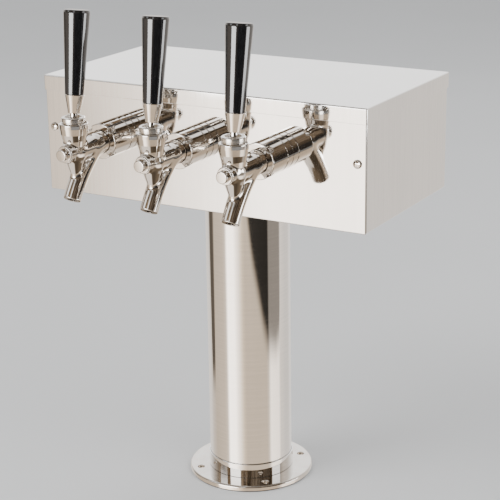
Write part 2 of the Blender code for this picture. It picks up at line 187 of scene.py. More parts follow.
def evaluated(mesh, build):
    """The mesh after the modifiers that build(object) adds. build may return objects to remove."""
    base = bpy.data.objects.new("base", mesh)
    bpy.context.scene.collection.objects.link(base)
    spare = build(base) or []
    depsgraph = bpy.context.evaluated_depsgraph_get()
    made = bpy.data.meshes.new_from_object(base.evaluated_get(depsgraph))
    made.name = mesh.name
    for item in [base, *spare]:
        bpy.data.objects.remove(item, do_unlink=True)
    return made


def cut(mesh, others):
    """The mesh with each of the others cut from it."""

    def build(base):
        tools = []
        for other in others:
            tool = bpy.data.objects.new("tool", other)
            bpy.context.scene.collection.objects.link(tool)
            step = base.modifiers.new("step", "BOOLEAN")
            step.object, step.operation, step.solver = tool, "DIFFERENCE", "EXACT"
            tools.append(tool)
        return tools

    return evaluated(mesh, build)


def flat_shaded(mesh, sharp_deg=45):
    """Keeps flat faces flat to the eye between smooth bends, and true edges sharp."""
    mesh.shade_smooth()
    mesh.set_sharp_from_angle(angle=math.radians(sharp_deg))

    def build(base):
        step = base.modifiers.new("normals", "WEIGHTED_NORMAL")
        step.keep_sharp = True
        step.weight = 100  # the largest faces decide the normals

    return evaluated(mesh, build)


def box(name, low, high, bend=0.0, segments=4, sharp_side=None, is_open=False):
    """A box with bent edges, except round a sharp side, given as (axis, sign), which may be open."""
    bm = bmesh.new()
    bmesh.ops.create_cube(bm, size=1.0)
    bmesh.ops.scale(bm, vec=[end - start for start, end in zip(low, high)], verts=bm.verts)
    bmesh.ops.translate(bm, vec=[(start + end) / 2 for start, end in zip(low, high)], verts=bm.verts)
    edges = list(bm.edges)
    if sharp_side:
        axis, sign = sharp_side
        limit = high[axis] if sign > 0 else low[axis]

        def on_side(part):
            return all(abs(vert.co[axis] - limit) < 1e-6 for vert in part.verts)

        edges = [edge for edge in bm.edges if not on_side(edge)]
        if is_open:
            lid = [face for face in bm.faces if on_side(face)]
            bmesh.ops.delete(bm, geom=lid, context="FACES_ONLY")
    if bend:
        bmesh.ops.bevel(bm, geom=edges, offset=bend, segments=segments, profile=0.5,
                        affect="EDGES", clamp_overlap=True)
    bmesh.ops.recalc_face_normals(bm, faces=bm.faces)
    mesh = bpy.data.meshes.new(name)
    bm.to_mesh(mesh)
    bm.free()
    return mesh


def sheet_box(name, low, high, thick, bend, open_side):
    """An open box folded from sheet, whose outer faces are where low and high say."""
    shell = box(name, low, high, bend, segments=5, sharp_side=open_side, is_open=True)
    centre = [(start + end) / 2 for start, end in zip(low, high)]
    bm = bmesh.new()
    bm.from_mesh(shell)
    for face in bm.faces:
        outward = face.calc_center_median() - Vector(centre)
        if face.normal.dot(outward) < 0:
            face.normal_flip()
    bm.to_mesh(shell)
    bm.free()

    def build(base):
        step = base.modifiers.new("sheet", "SOLIDIFY")
        step.thickness, step.offset, step.use_even_offset = thick, -1.0, True

    return evaluated(shell, build)


def rounded_rim(mesh, width):
    """Rounds only the mesh's square edges, such as a sheet's cut rim."""

    def build(base):
        step = base.modifiers.new("rim", "BEVEL")
        step.width, step.segments, step.limit_method = width, 3, "ANGLE"
        step.angle_limit = math.radians(60)

    return evaluated(mesh, build)


def rod(radius, low, high, x=0.0, y=0.0, sides=48):
    """A plain upright rod from low to high, mostly to cut holes with."""
    profile = [(0, low), (radius, low), (radius, high), (0, high)]
    return moved(lathe("rod", profile, sides, radius=0), x, y)


def panel_rod(radius, x, z, sides=48):
    """A rod through the front panel, along the reach."""
    return moved(along_reach(rod(radius, -PAST_PANEL, PAST_PANEL, sides=sides)), x, FRONT_Y, z)


def on_circle(radius):
    """Four spots round a circle, midway between the axes."""
    for k in range(4):
        a = math.radians(45) + math.tau * k / 4
        yield radius * math.cos(a), radius * math.sin(a)


# ---------------------------------------------------------------- castings, as distance fields
# A field takes points as columns x, reach, rise and gives the signed distance to a surface.


def outline_distance(u, v, corners):
    """Signed distance to a closed outline, below zero inside."""
    best = np.full(u.shape, np.inf)
    inside = np.zeros(u.shape, bool)
    for (ax, ay), (bx, by) in zip(corners, corners[1:] + corners[:1]):
        ex, ey = bx - ax, by - ay
        wx, wy = u - ax, v - ay
        t = np.clip((wx * ex + wy * ey) / (ex * ex + ey * ey), 0, 1)
        best = np.minimum(best, (wx - ex * t) ** 2 + (wy - ey * t) ** 2)
        if ay != by:
            inside ^= ((ay > v) != (by > v)) & (u < ex * (v - ay) / ey + ax)
    return np.where(inside, -1.0, 1.0) * np.sqrt(best)


def turned_field(profile, soft, around):
    """A turned shape from its real (radius, height) outline, its outer corners rounded by soft."""
    inner = [(r - soft if r > 0 else -0.01, h) for r, h in profile]
    low, high = min(h for _, h in profile), max(h for _, h in profile)
    corners = [(r, min(max(h, low + soft), high - soft)) for r, h in inner]

    def field(p):
        if around == "reach":
            radius, height = np.hypot(p[:, 0], p[:, 2]), p[:, 1]
        else:
            radius, height = np.hypot(p[:, 0], p[:, 1] - LEVER_REACH), p[:, 2]
        return outline_distance(radius, height, corners) - soft

    return field


def block_field(low, high, soft, turn=0.0):
    """A block with rounded edges, turned about the barrel's axis."""
    middle, half = (np.array(low) + high) / 2, (np.array(high) - low) / 2 - soft

    def field(p):
        c, s = math.cos(turn), math.sin(turn)
        q = np.stack([c * p[:, 0] + s * p[:, 2], p[:, 1], -s * p[:, 0] + c * p[:, 2]], 1)
        d = np.abs(q - middle) - half
        return np.linalg.norm(np.maximum(d, 0), axis=1) + np.minimum(d.max(1), 0) - soft

    return field


def spout_field(first_deg, last_deg, radius_at, squared_end=True):
    """A bar bent along the spout's arc. radius_at(share of the way) gives its radius."""
    first, last = math.radians(first_deg), math.radians(last_deg)

    def field(p):
        u, v = p[:, 1] - SPOUT_CENTRE[0], p[:, 2] - SPOUT_CENTRE[1]
        angle = np.clip(np.arctan2(u, v), first, last)
        gap = np.sqrt(p[:, 0] ** 2 + (u - SPOUT_BEND * np.sin(angle)) ** 2
                      + (v - SPOUT_BEND * np.cos(angle)) ** 2)
        gap = gap - radius_at((angle - first) / (last - first))
        if squared_end:
            end = ((u - SPOUT_BEND * math.sin(last)) * math.cos(last)
                   - (v - SPOUT_BEND * math.cos(last)) * math.sin(last))
            gap = -blended(-gap, -end, 0.0012)
        return gap

    return field


def blended(a, b, width):
    """The union of two fields, with a fillet of about that width."""
    h = np.clip(0.5 + 0.5 * (b - a) / width, 0, 1)
    return b * (1 - h) + a * h - width * h * (1 - h)


def net_points(value):
    """A point in each cell that the surface runs through, at the mean of where it cuts the edges.
    Gives the points, counted in cells, and the number of each cell's point."""
    cells = np.array(value.shape) - 1
    crossings = np.zeros((*cells, 3))
    hits = np.zeros(cells)

    def part(start):
        return value[tuple(slice(start[i], start[i] + cells[i]) for i in range(3))]

    for axis in range(3):
        for a in (0, 1):
            for b in (0, 1):
                start = np.zeros(3, int)
                start[(axis + 1) % 3], start[(axis + 2) % 3] = a, b
                ahead = start.copy()
                ahead[axis] = 1
                f0, f1 = part(start), part(ahead)
                cross = (f0 < 0) != (f1 < 0)
                with np.errstate(divide="ignore", invalid="ignore"):
                    t = np.where(cross, f0 / (f0 - f1), 0.0)
                for i in range(3):
                    crossings[..., i] += np.where(cross, start[i] + (t if i == axis else 0.0), 0.0)
                hits += cross
    used = hits > 0
    index = np.full(cells, -1)
    index[used] = np.arange(used.sum())
    return np.argwhere(used) + crossings[used] / hits[used][:, None], index


def net_faces(inside, index):
    """A face round each edge that the surface cuts, between the points of its four cells."""
    faces = []
    for axis in range(3):
        i1, i2 = (axis + 1) % 3, (axis + 2) % 3
        size = np.array(inside.shape)
        size[axis] -= 1
        near = tuple(slice(0, size[i]) for i in range(3))
        far = tuple(slice(1, None) if i == axis else slice(0, size[i]) for i in range(3))
        spots = np.argwhere(inside[near] != inside[far])
        keep = np.all([(spots[:, i] > 0) & (spots[:, i] < index.shape[i]) for i in (i1, i2)], axis=0)
        spots = spots[keep]
        around = []
        for d1, d2 in ((0, 0), (-1, 0), (-1, -1), (0, -1)):
            c = spots.copy()
            c[:, i1] += d1
            c[:, i2] += d2
            around.append(index[c[:, 0], c[:, 1], c[:, 2]])
        quads = np.stack(around, 1)
        flip = inside[near][tuple(spots.T)]
        quads[flip] = quads[flip][:, ::-1]
        faces.append(quads)
    return np.concatenate(faces)


def slope(field, points, step):
    """How fast the field rises at each point, along each axis."""
    rises = []
    for i in range(3):
        off = np.zeros(3)
        off[i] = step
        rises.append((field(points + off) - field(points - off)) / (2 * step))
    return np.stack(rises, 1)


def surface(name, field, low, high, cell):
    """A smooth quad mesh of where the field is zero, by surface nets, with exact normals."""
    low, high = np.array(low), np.array(high)
    count = np.ceil((high - low) / cell).astype(int) + 1
    axes = [low[i] + cell * np.arange(count[i]) for i in range(3)]
    grid = np.stack(np.meshgrid(*axes, indexing="ij"), -1).reshape(-1, 3)
    value = field(grid).reshape(count)
    points, index = net_points(value)
    faces = net_faces(value < 0, index)
    points = low + cell * points

    step, longest = 0.15 * cell, 0.7 * cell
    for _ in range(3):
        g = slope(field, points, step)
        push = (field(points) / np.maximum((g * g).sum(1), 0.25))[:, None] * g
        points = points - np.clip(push, -longest, longest)
    normals = slope(field, points, step)
    normals /= np.maximum(np.linalg.norm(normals, axis=1), 1e-9)[:, None]

    points[:, 1] *= -1  # reach runs forward, along -Y
    normals[:, 1] *= -1
    mesh = bpy.data.meshes.new(name)
    mesh.from_pydata(points.tolist(), [], faces.tolist())
    mesh.shade_smooth()
    if not mesh.validate():  # a mended mesh no longer matches the normals
        mesh.normals_split_custom_set_from_vertices(normals.tolist())
    return mesh


def faucet_field():
    """The faucet's casting: a barrel, the socket under the bonnet and the spout, all bored."""
    barrel = turned_field([
        (0, 0.0313), (THREAD_RADIUS, 0.0313), (THREAD_RADIUS, 0.0350), (0.0129, 0.0350),
        (0.0129, 0.0920), (0.0100, 0.0985), (0.0100, 0.1120), (0, 0.1120),
    ], 0.0007, "reach")
    socket = turned_field([
        (0, 0.0320), (0.0160, 0.0320), (0.0160, 0.0270), (0.0150, 0.0200), (0.0133, 0.0130),
        (0.0124, 0.0070), (0.0118, -0.0050), (0.0102, -0.0120), (0.0080, -0.0190),
        (0.0055, -0.0260), (0.0030, -0.0310), (0, -0.0310),
    ], 0.0010, "rise")
    spout = spout_field(38, 59.5, lambda t: 0.0099 + 0.0019 * (1 - t) ** 1.5)
    bore = turned_field([
        (0, 0.0250), (0.0098, 0.0250), (0.0098, 0.0620), (0.0070, 0.0620),
        (0.0070, 0.0765), (0.0050, 0.0765), (0.0050, 0.1200), (0, 0.1200),
    ], 0.0002, "reach")
    seat = turned_field([
        (0, 0.0172), (0.0042, 0.0172), (0.0084, 0.0213), (0.0106, 0.0230),
        (0.0128, 0.0230), (0.0128, 0.0380), (0, 0.0380),
    ], 0.0002, "rise")
    slot = block_field((-0.0036, 0.0818, -0.0010), (0.0036, 0.1015, 0.0205), 0.0004)
    throat = spout_field(42, 75, lambda t: 0.0052, squared_end=False)

    def field(p):
        body = blended(barrel(p), socket(p), 0.0030)
        body = blended(body, spout(p), 0.0045)
        for hollow in (bore, seat, slot, throat):
            body = np.maximum(body, -hollow(p))
        return body

    return field


def coupling_field():
    """The nut that holds the faucet on its shank, with four notches for a spanner in its front."""
    nut = turned_field([
        (0, 0.0126), (COUPLING_RADIUS, 0.0126), (COUPLING_RADIUS, 0.0450), (0, 0.0450),
    ], 0.0010, "reach")
    hole = turned_field([
        (0, 0.0050), (0.0145, 0.0050), (0.0145, 0.0354),
        (0.0133, 0.0354), (0.0133, 0.0550), (0, 0.0550),
    ], 0.0002, "reach")
    notches = [
        block_field((0.0170, 0.0370, -0.0031), (0.0300, 0.0520, 0.0031), 0.0028, math.radians(a))
        for a in (45, 135, 225, 315)
    ]

    def field(p):
        body = np.maximum(nut(p), -hole(p))
        for notch in notches:
            body = -blended(-body, notch(p), 0.0008)
        return body

    return field


# ---------------------------------------------------------------- materials


class Nodes:
    """A short way to write the nodes of a material or of the world."""

    def __init__(self, tree):
        self.tree = tree
        tree.nodes.clear()

    def add(self, kind, inputs=None, **settings):
        node = self.tree.nodes.new(kind)
        for key, value in settings.items():
            setattr(node, key, value)
        for key, value in (inputs or {}).items():
            if isinstance(value, bpy.types.NodeSocket):
                self.tree.links.new(value, node.inputs[key])
            else:
                node.inputs[key].default_value = value
        return node

    def maths(self, operation, *values):
        return self.add("ShaderNodeMath", dict(enumerate(values)), operation=operation).outputs[0]

    def noise(self, scale, stretch=(1, 1, 1), detail=3.0, seed=(0, 0, 0)):
        where = self.add("ShaderNodeTexCoord").outputs["Object"]
        spread = self.add("ShaderNodeMapping", {"Vector": where, "Scale": stretch, "Location": seed})
        return self.add("ShaderNodeTexNoise", {
            "Vector": spread.outputs[0], "Scale": scale, "Detail": detail, "Roughness": 0.5,
        }).outputs["Fac"]

    def between(self, value, low, high, start=0.3, end=0.7):
        """Maps a noise value from start to end onto low to high."""
        return self.add("ShaderNodeMapRange", {
            "Value": value, "From Min": start, "From Max": end, "To Min": low, "To Max": high,
        }).outputs[0]

    def colours(self, value, stops):
        """A ramp from (place, colour) stops."""
        ramp = self.add("ShaderNodeValToRGB", {"Fac": value})
        elements = ramp.color_ramp.elements
        while len(elements) > 1:
            elements.remove(elements[-1])
        for i, (at, colour) in enumerate(stops):
            element = elements[0] if i == 0 else elements.new(at)
            element.position = at
            element.color = (*colour, 1.0)
        return ramp.outputs["Color"]

    def shaded(self, value, low, high, start=0.3, end=0.7):
        """A colour from low to high, by where a noise value lies between start and end."""
        return self.colours(self.between(value, 0, 1, start, end), [(0.3, low), (0.7, high)])

    def tinted(self, value, colour, change, start=0.3, end=0.7):
        """The same with one colour, from a little darker to a little lighter."""
        low = tuple(c * (1 - change) for c in colour)
        high = tuple(min(1.0, c * (1 + change)) for c in colour)
        return self.shaded(value, low, high, start, end)

    def plus(self, a, b, share):
        """Two values added, the second at a share of its size."""
        return self.maths("MULTIPLY_ADD", b, share, a)

    def bump(self, height, distance, **under):
        return self.add("ShaderNodeBump", {"Height": height, "Distance": distance, **under}).outputs[0]


def material(name, build, **fixed):
    """A Principled material. build(nodes) returns the linked inputs, fixed gives the plain ones."""
    made = bpy.data.materials.new(name)
    made.use_nodes = True
    nodes = Nodes(made.node_tree)
    linked = build(nodes)
    inputs = {key.replace("_", " "): value for key, value in fixed.items()}
    inputs.update(linked)
    shader = nodes.add("ShaderNodeBsdfPrincipled", inputs)
    nodes.add("ShaderNodeOutputMaterial", {"Surface": shader.outputs[0]})
    return made


CHROME_COLOUR = (0.66, 0.625, 0.585)


def polished_sheet(nodes):
    """Mirror finish on rolled sheet: long faint polishing lines, clouds and a slight wave."""
    lines = nodes.noise(9, (60, 60, 1.2), detail=4)
    clouds = nodes.noise(14, detail=3, seed=(3, 1, 2))
    tone = nodes.plus(lines, clouds, 0.6)
    wave = nodes.noise(9, (1, 1, 1.3), detail=1, seed=(5, 5, 5))
    fine = nodes.noise(60, (9, 9, 1), detail=3)
    rolled = nodes.bump(wave, 0.00028)
    return {
        "Base Color": nodes.tinted(tone, (0.785, 0.775, 0.762), 0.022, start=0.5, end=1.1),
        "Roughness": nodes.between(tone, 0.028, 0.062, start=0.5, end=1.1),
        "Normal": nodes.bump(fine, 0.0000035, Normal=rolled),
    }


def polished_tube(nodes):
    """Tube polished round its girth, so that reflections draw out along its height."""
    rings = nodes.noise(40, (0.35, 0.35, 14), detail=4)
    bands = nodes.noise(16, (3, 3, 0.25), detail=3, seed=(2, 0, 4))
    tone = nodes.plus(rings, bands, 0.8)
    return {
        "Base Color": nodes.tinted(tone, (0.785, 0.772, 0.755), 0.025, start=0.6, end=1.2),
        "Roughness": nodes.between(tone, 0.035, 0.055, start=0.6, end=1.2),
        "Normal": nodes.bump(bands, 0.00002),
        "Tangent": nodes.add("ShaderNodeTangent", direction_type="RADIAL", axis="Z").outputs[0],
    }


def cast_chrome(nodes):
    """Chrome over a polished casting: a faint wave under the plating, smears and specks."""
    wave = nodes.noise(130, detail=1.5)
    smear = nodes.noise(55, (1, 1, 0.5), detail=4, seed=(4, 7, 1))
    fine = nodes.noise(900, detail=2)
    return {
        "Base Color": nodes.tinted(smear, CHROME_COLOUR, 0.04),
        "Roughness": nodes.between(smear, 0.035, 0.085),
        "Normal": nodes.bump(fine, 0.0000012, Normal=nodes.bump(wave, 0.000035)),
    }


def turned_chrome(nodes):
    """Chrome over a turned part, with the lathe's faint rings under it."""
    rings = nodes.noise(260, (0.05, 0.05, 5), detail=3)
    smear = nodes.noise(60, detail=3, seed=(1, 6, 2))
    return {
        "Base Color": nodes.tinted(smear, CHROME_COLOUR, 0.04),
        "Roughness": nodes.between(smear, 0.04, 0.09),
        "Normal": nodes.bump(rings, 0.000004, Normal=nodes.bump(smear, 0.00002)),
    }


def satin_chrome(nodes):
    """Plating left satin where fingers and a spanner turn it."""
    rings = nodes.noise(300, (0.06, 0.06, 5), detail=4)
    smear = nodes.noise(70, detail=3)
    return {
        "Base Color": nodes.tinted(smear, (0.72, 0.695, 0.66), 0.04),
        "Roughness": nodes.between(rings, 0.14, 0.26),
        "Normal": nodes.bump(rings, 0.000008),
    }


def plain_steel(nodes):
    """Unpolished steel with mill scratches and dull patches."""
    grain = nodes.noise(220, (0.15, 3, 3), detail=5)
    patch = nodes.noise(35, detail=3)
    tone = nodes.plus(grain, patch, 0.7)
    return {
        "Base Color": nodes.tinted(tone, (0.52, 0.515, 0.50), 0.09, start=0.6, end=1.1),
        "Roughness": nodes.between(tone, 0.24, 0.42, start=0.6, end=1.1),
        "Normal": nodes.bump(grain, 0.000012),
    }


def black_plastic(nodes):
    """Moulded glossy black plastic with a slight orange peel and hairline scratches."""
    peel = nodes.noise(420, detail=2)
    hairs = nodes.noise(160, (8, 8, 0.35), detail=5, seed=(9, 2, 3))
    return {
        "Base Color": nodes.shaded(hairs, (0.007, 0.007, 0.008), (0.013, 0.013, 0.014)),
        "Roughness": nodes.between(hairs, 0.06, 0.10),
        "Normal": nodes.bump(peel, 0.0000025),
    }


def seal_rubber(nodes):
    """Moulded rubber, matt, with a dusty grain."""
    grain = nodes.noise(900, detail=4)
    dust = nodes.noise(90, detail=3)
    return {
        "Base Color": nodes.shaded(dust, (0.018, 0.018, 0.019), (0.035, 0.034, 0.033)),
        "Roughness": nodes.between(grain, 0.68, 0.88),
        "Normal": nodes.bump(grain, 0.00003),
    }


def sleeve_foam(nodes):
    """Closed-cell foam: small round cells over a soft unevenness."""
    where = nodes.add("ShaderNodeTexCoord").outputs["Object"]
    cells = nodes.add("ShaderNodeTexVoronoi", {"Vector": where, "Scale": 700}).outputs["Distance"]
    swell = nodes.noise(120, detail=2)
    return {
        "Base Color": nodes.colours(cells, [(0.0, (0.10, 0.10, 0.105)), (0.6, (0.055, 0.055, 0.06))]),
        "Roughness": nodes.between(swell, 0.85, 0.97),
        "Normal": nodes.bump(cells, 0.0003, Normal=nodes.bump(swell, 0.0004)),
    }


def floor_paper(nodes):
    """Pale, plain studio paper."""
    fibre = nodes.noise(420, detail=3)
    cloud = nodes.noise(1.2, detail=2)
    return {
        "Base Color": nodes.shaded(cloud, (0.735, 0.74, 0.745), (0.75, 0.755, 0.76)),
        "Roughness": nodes.between(fibre, 0.85, 0.95),
    }


SHEET_STEEL = material("polished_sheet_steel", polished_sheet, Metallic=1.0)
TUBE_STEEL = material("polished_tube_steel", polished_tube, Metallic=1.0, Anisotropic=0.35)
CAST = material("cast_chrome", cast_chrome, Metallic=1.0)
CHROME = material("turned_chrome", turned_chrome, Metallic=1.0)
SATIN = material("satin_chrome", satin_chrome, Metallic=1.0)
STEEL = material("plain_steel", plain_steel, Metallic=1.0)
BLACK = material("black_plastic", black_plastic, Metallic=0.0, IOR=1.75)
RUBBER = material("seal_rubber", seal_rubber, Metallic=0.0, IOR=1.45)
FOAM = material("sleeve_foam", sleeve_foam, Metallic=0.0, IOR=1.40)
PAPER = material("floor_paper", floor_paper, Metallic=0.0, IOR=1.40)


def place(node, mesh, finish, body="tower", at=None):
    """A detailed piece that stands for the CAD node, in its place and on its body."""
    piece = bpy.data.objects.new(f"{node}_shown", mesh)
    piece.data.materials.clear()
    piece.data.materials.append(finish)
    bpy.context.scene.collection.objects.link(piece)
    piece.matrix_world = at or Matrix.Identity(4)
    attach(piece, body)
    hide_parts(node)


# ---------------------------------------------------------------- base and column


def make_base():
    bolts = list(on_circle(BOLT_CIRCLE))
    gasket = ring("gasket", 0.0450, 0.0752, 0, 0.0010, sides=128, radius=0.0002)
    gasket = cut(gasket, [rod(BOLT_HOLE, -0.01, 0.01, x, y) for x, y in bolts])
    place("base_gasket", flat_shaded(gasket), RUBBER)

    inner = 0.0440
    flange = lathe("flange", [
        (inner, FLANGE_LOW), (FLANGE_RADIUS, FLANGE_LOW), (FLANGE_RADIUS, FLANGE_TOP, 0.0022),
        (inner, FLANGE_TOP),
    ], sides=160, closed=True, steps=6)
    sinks = []
    for x, y in bolts:
        sink = lathe("sink", [
            (0, -0.01), (BOLT_HOLE, -0.01), (BOLT_HOLE, FLANGE_TOP - 0.0005),
            (0.0048, FLANGE_TOP + 0.0001), (0.0048, 0.02), (0, 0.02),
        ], sides=48, radius=0.0002)
        sinks.append(moved(sink, x, y))
    place("base_flange", flat_shaded(cut(flange, sinks)), CHROME)

    inner = COLUMN_RADIUS + GAP
    outer = inner + 0.0014
    low = FLANGE_TOP + GAP
    high = low + 0.0175
    collar = lathe("collar", [
        (inner, low), (outer, low, 0.0002), (outer, high, 0.0008), (inner, high, 0.0003),
    ], sides=160, closed=True, radius=0.0002, steps=5)
    place("base_collar", flat_shaded(collar), TUBE_STEEL)


def column_screw_rods():
    """Rods for the screws' holes in the top ring, the head's floor and the head's plate."""
    spots = on_circle(COLUMN_SCREW_CIRCLE)
    return [rod(SCREW_HOLE, UNDER_FLOOR, OVER_FLOOR, x, y, sides=24) for x, y in spots]


def make_column():
    low, high = FLANGE_TOP + GAP, HEAD_BOTTOM - GAP
    inner = COLUMN_RADIUS - COLUMN_WALL
    column = ring("tube", inner, COLUMN_RADIUS, low, high, sides=192, radius=0.0004)
    place("column_tube", flat_shaded(column), TUBE_STEEL)
    sleeve = ring("sleeve", 0.0220, 0.0300, 0.0140, 0.3450, sides=64, radius=0.0010)
    place("line_sleeve", flat_shaded(sleeve), FOAM)

    top_ring = ring("top_ring", MOUTH_RADIUS, inner - GAP, high - 0.012, high, radius=0.0004)
    place("column_top_ring", flat_shaded(cut(top_ring, column_screw_rods())), STEEL)

    low = HEAD_BOTTOM + SHEET + GAP
    plate = ring("plate", MOUTH_RADIUS, PLATE_RADIUS, low, low + PLATE_THICK, radius=0.0004)
    place("head_plate", flat_shaded(cut(plate, column_screw_rods())), STEEL)

    seat = low + PLATE_THICK + GAP
    screw = lathe("column_screw", [
        (0, seat - 0.0165), (0.0016, seat - 0.0165), (0.0021, seat - 0.0155), (0.0021, seat, 0),
        (0.0038, seat, 0.0002), (0.0038, seat + 0.0018, 0.0006), (0.0030, seat + 0.0025, 0.0006),
        (0, seat + 0.0025),
    ], sides=32)
    screw = flat_shaded(cut(screw, [hex_prism(0.0030, seat + 0.0009, seat + 0.0040)]))
    for number, (x, y) in enumerate(on_circle(COLUMN_SCREW_CIRCLE), 1):
        place(f"column_screw_{number}", screw, STEEL, at=Matrix.Translation((x, y, 0)))


def hex_prism(across_flats, low, high):
    return rod(across_flats / math.sqrt(3), low, high, sides=6)


# ---------------------------------------------------------------- head


def panel_screw_rods():
    """Rods for the two panel screws' holes."""
    return [panel_rod(SCREW_HOLE, side * PANEL_SCREW_X, PANEL_SCREW_Z, sides=24) for side in (-1, 1)]


def make_head():
    half, back = HEAD_WIDTH / 2, HEAD_DEPTH / 2
    front = FRONT_Y + PANEL_THICK
    wall = front + GAP
    tray = sheet_box(
        "tray", (-half, wall, HEAD_BOTTOM), (half, back, WALL_TOP), SHEET, 0.0018, open_side=(2, 1),
    )
    window = box(
        "window", (-half + PANEL_LIP, wall - 0.01, HEAD_BOTTOM + SILL_HEIGHT),
        (half - PANEL_LIP, wall + 0.01, WALL_TOP + 0.01),
    )
    mouth = rod(MOUTH_RADIUS, UNDER_FLOOR, OVER_FLOOR, sides=96)
    tray = cut(tray, [window, mouth, *column_screw_rods(), *panel_screw_rods()])
    place("head_body", flat_shaded(tray), SHEET_STEEL)

    panel = box("panel", (-half, FRONT_Y, HEAD_BOTTOM), (half, front, WALL_TOP), 0.0011, sharp_side=(1, 1))
    shanks = [panel_rod(SHANK_RADIUS + GAP, x, TAP_AXIS_Z) for x in TAPS.values()]
    panel = cut(panel, [*panel_screw_rods(), *shanks])
    place("front_panel", flat_shaded(panel), SHEET_STEEL)

    out = COVER_PLAY + COVER_SHEET
    cover = sheet_box(
        "cover", (-half - out, -back - out, HEAD_TOP - COVER_SKIRT), (half + out, back + out, HEAD_TOP),
        COVER_SHEET, 0.0017, open_side=(2, -1),
    )
    place("top_cover", flat_shaded(rounded_rim(cover, 0.00045)), SHEET_STEEL, "cover")

    screw = lathe("panel_screw", [
        (0, -0.009), (0.0014, -0.009), (0.0020, -0.008), (0.0020, GAP, 0), (0.0050, GAP, 0.0002),
        (0.0050, 0.0012, 0.0006), (0.0040, 0.0021, 0.0010), (0.0020, 0.0026, 0.0010), (0, 0.0027),
    ], sides=48)
    long, narrow, deep = 0.0022, 0.00035, 0.0011
    arms = [box("arm", (-x, -y, deep), (x, y, 0.0040)) for x, y in ((long, narrow), (narrow, long))]
    screw = along_reach(flat_shaded(cut(screw, arms), 30))
    for side, sign in (("left", -1), ("right", 1)):
        at = Matrix.Translation((sign * PANEL_SCREW_X, FRONT_Y, PANEL_SCREW_Z))
        place(f"panel_screw_{side}", screw, CHROME, at=at)


# ---------------------------------------------------------------- taps


def elbow_points():
    """The tail elbow's middle line: out of the shank, round a quarter circle and a little down."""
    start = SHANK_TAIL + GAP
    straight, bend, drop, steps = 0.010, 0.0140, 0.0165, 14
    points = [Vector((0, start, 0)), Vector((0, start + straight, 0))]
    for k in range(1, steps + 1):
        a = math.pi / 2 * k / steps
        points.append(Vector((0, start + straight + bend * math.sin(a), -bend * (1 - math.cos(a)))))
    points.append(Vector((0, points[-1].y, -drop)))
    return points


def nut(across_flats, bore, low, high):
    """A hexagon nut whose corners are turned down at both ends."""
    body = hex_prism(across_flats, low, high)
    inner, outer = 0.5 * across_flats - 0.0004, 0.5 * across_flats + 0.0021
    past, chamfer = 0.001, 0.0011
    turning = lathe("turning", [
        (inner, low - past), (across_flats, low - past), (across_flats, high + past), (inner, high + past),
        (inner, high), (outer, high - chamfer), (outer, low + chamfer), (inner, low),
    ], closed=True, radius=0)
    return along_reach(cut(body, [turning, rod(bore, low - 0.01, high + 0.01)]))


def make_line(side, start, number):
    """A rigid tube from the elbow, across the head and straight down the column."""
    angle = math.radians(150 + 120 * number)
    foot = Vector((LINE_CIRCLE * math.cos(angle), LINE_CIRCLE * math.sin(angle), LINE_FOOT_Z))
    drop, pull_down, pull_up, steps = 0.006, 0.039, 0.050, 40
    a, d = start - Vector((0, 0, drop)), foot
    b, c = a - Vector((0, 0, pull_down)), d + Vector((0, 0, pull_up))
    points = [start]
    for t in (k / steps for k in range(steps + 1)):
        s = 1 - t
        points.append(s**3 * a + 3 * s * s * t * b + 3 * s * t * t * c + t**3 * d)
    points.append(Vector((foot.x, foot.y, LINE_END_Z)))
    place(f"product_line_{side}", tube("line", points, LINE_RADIUS, LINE_BORE), STEEL)


def tap_pieces():
    """The pieces of a tap that don't turn, each round the tap's origin, as (node, mesh, finish)."""
    faucet = surface(
        "faucet", faucet_field(), (-0.0175, 0.0285, -0.0610), (0.0175, 0.1140, 0.0335), 0.00055,
    )
    coupling = surface(
        "coupling", coupling_field(), (-0.0213, 0.0115, -0.0213), (0.0213, 0.0461, 0.0213), 0.0005,
    )
    shank = along_reach(lathe("shank", [
        (0.0045, -SHANK_TAIL), (SHANK_RADIUS, -SHANK_TAIL, 0.0008), (SHANK_RADIUS, GAP, 0),
        (COUPLING_RADIUS, GAP, 0.0008), (COUPLING_RADIUS, 0.0122, 0.0012), (THREAD_RADIUS, 0.0122, 0.0004),
        (THREAD_RADIUS, SHANK_END, 0.0004), (0.0045, SHANK_END),
    ], closed=True, steps=5))
    back = -PANEL_THICK - GAP
    locknut = nut(0.032, SHANK_RADIUS + GAP, back - 0.008, back)
    cap = along_reach(lathe("cap", [
        (0, 0.1098), (0.0046, 0.1098), (0.0046, 0.1123, 0), (0.0092, 0.1123, 0.0003),
        (0.0092, 0.1138, 0.0007), (0.0068, 0.1138, 0.0003), (0.0068, 0.1200, 0.0013), (0, 0.1200),
    ], sides=64, steps=5))
    shaft = along_reach(lathe("shaft", [
        (0, 0.0552), (0.0056, 0.0552), (0.0056, 0.0578), (0.0026, 0.0578), (0.0026, 0.0750),
        (0.0047, 0.0770), (0.0047, 0.1090), (0, 0.1090),
    ], sides=48))
    finger = LEVER_REACH + PIVOT_RISE * math.sin(LEAN_BACK)
    slot = box("slot", (-0.0035, -finger - 0.0035, -0.0036), (0.0035, -finger + 0.0035, 0.0100))
    washer = along_reach(ring("washer", 0.0029, 0.0088, 0.0581, 0.0617, sides=48, radius=0.0006))
    return (
        ("shank", flat_shaded(shank), CHROME),
        ("shank_locknut", flat_shaded(locknut, 30), STEEL),
        ("coupling_nut", coupling, CAST),
        ("faucet_body", faucet, CAST),
        ("front_cap", flat_shaded(cap), CHROME),
        ("valve_shaft", flat_shaded(cut(shaft, [slot])), STEEL),
        ("seat_washer", flat_shaded(washer), RUBBER),
    )


